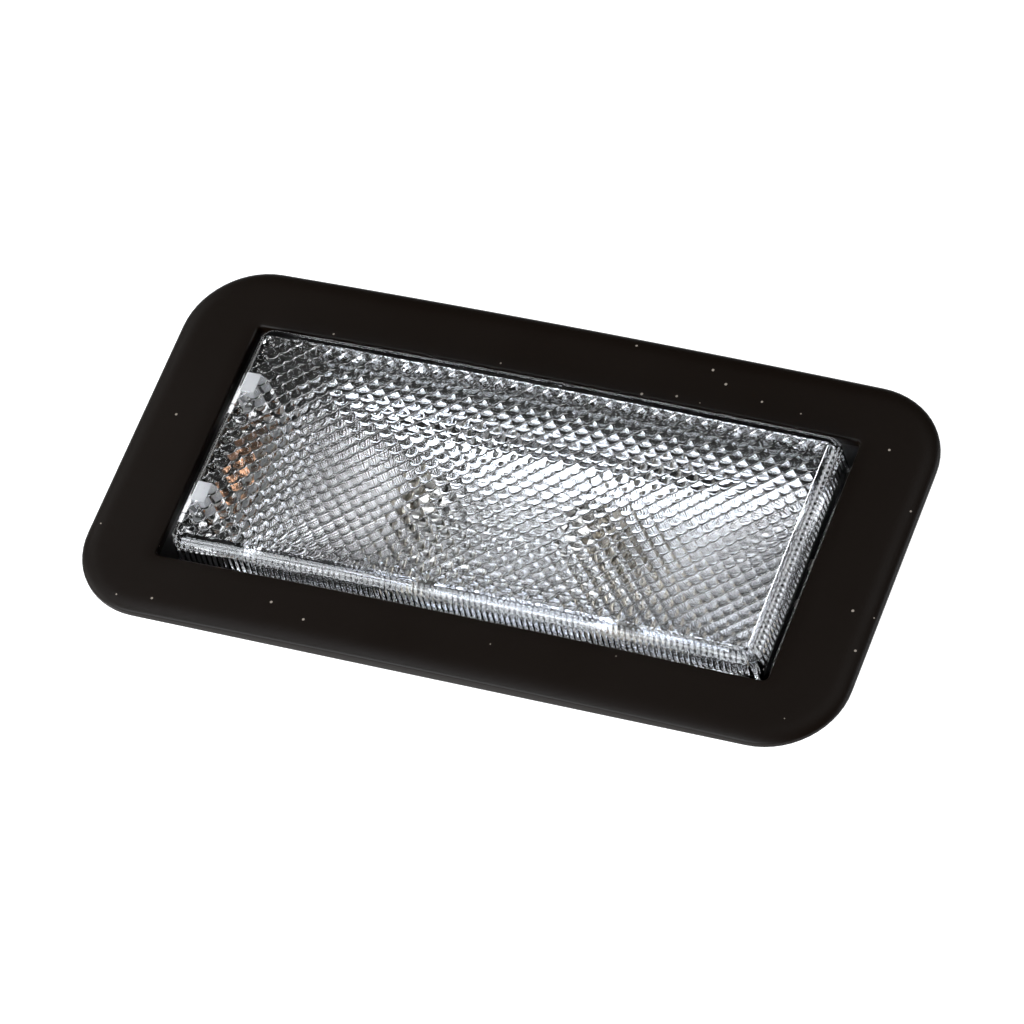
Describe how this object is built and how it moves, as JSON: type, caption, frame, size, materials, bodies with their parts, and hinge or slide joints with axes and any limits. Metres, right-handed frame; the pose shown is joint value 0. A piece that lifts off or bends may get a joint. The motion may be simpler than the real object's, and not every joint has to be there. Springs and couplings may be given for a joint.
{
  "type": "car dome light",
  "caption": "Recessed oblong interior lamp: black crowned bezel, clear prismatic lens that rocks on side pins to switch it, festoon bulb over a bright reflector, sprung clips and blade terminals behind.",
  "frame": {"origin": "middle of the bezel's flat back plane, which lies on the headliner", "axes": "+X along the lamp away from its switch end, +Y across it, +Z out of its face into the car"},
  "size_m": [0.13, 0.0672, 0.032],
  "materials": {
    "black_moulding": "fine satin grain",
    "black_housing": "plain satin",
    "clear_lens": "clear moulded, prisms inside",
    "bright_reflector": "bright metal",
    "bulb_glass": "clear glass",
    "plated_steel": "dull plating",
    "filament_wire": "dark drawn wire",
    "brass_strip": "rolled strip",
    "white_moulding": "plain satin",
    "copper_leaf": "rolled strip",
    "spring_steel": "oiled spring strip"
  },
  "bodies": {
    "housing": {"bezel": "black_moulding", "rear_housing": "black_housing", "reflector": "bright_reflector", "bulb_glass": "bulb_glass", "bulb_cap_left": "plated_steel", "bulb_cap_right": "plated_steel", "bulb_filament": "filament_wire", "bulb_clip_left": "brass_strip", "bulb_clip_right": "brass_strip", "supply_rivet": "plated_steel", "earth_rivet": "plated_steel", "door_rivet": "plated_steel", "supply_terminal": "brass_strip", "earth_terminal": "brass_strip", "door_terminal": "brass_strip", "switch_base": "white_moulding", "switch_leaf": "copper_leaf", "leaf_rivet_near": "plated_steel", "leaf_rivet_far": "plated_steel", "switch_contact": "brass_strip", "panel_clip_left": "spring_steel", "panel_clip_right": "spring_steel", "panel_rivets_left": "plated_steel", "panel_rivets_right": "plated_steel"},
    "lens": {"lens": "clear_lens"}
  },
  "joints": [
    {"name": "lens_rocker", "type": "hinge", "parent": "housing", "child": "lens", "pos_m": [0.0002, 0, -0.003], "axis": [0, 1, 0], "range_deg": [-2, 2]}
  ]
}
